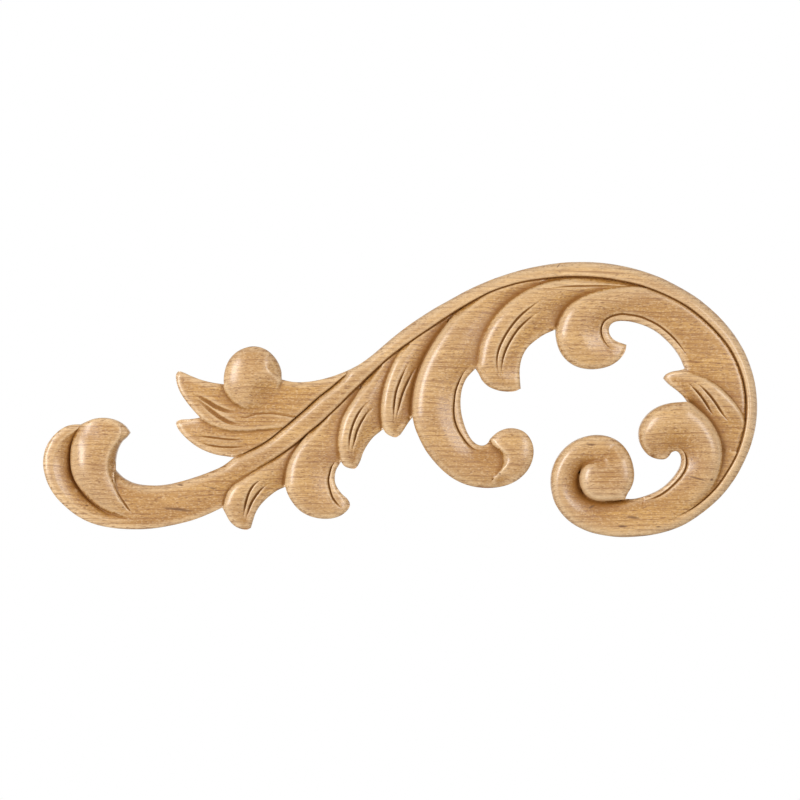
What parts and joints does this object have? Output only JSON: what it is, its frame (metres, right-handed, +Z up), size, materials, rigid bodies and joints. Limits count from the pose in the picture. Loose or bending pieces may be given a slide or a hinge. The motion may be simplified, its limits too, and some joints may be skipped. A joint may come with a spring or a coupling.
{
  "type": "acanthus applique",
  "caption": "Carved wooden onlay in the shape of an acanthus scroll: a stem with overlapping leaves that ends in a C-shaped band with rolled tips, flat on the back for glueing.",
  "frame": {"origin": "middle of the flat back's length and height, on the back face", "axes": "+X along the length, towards the end of the C-shaped band; +Y out of the flat back, into the surface it is glued to; +Z up, with the round cap roll and the barbed leaves above the stem; the carved face looks along -Y"},
  "size_m": [0.3, 0.015, 0.1157],
  "materials": {
    "carved_wood": "satin"
  },
  "bodies": {
    "root": {"acanthus_applique": "carved_wood"}
  },
  "joints": []
}
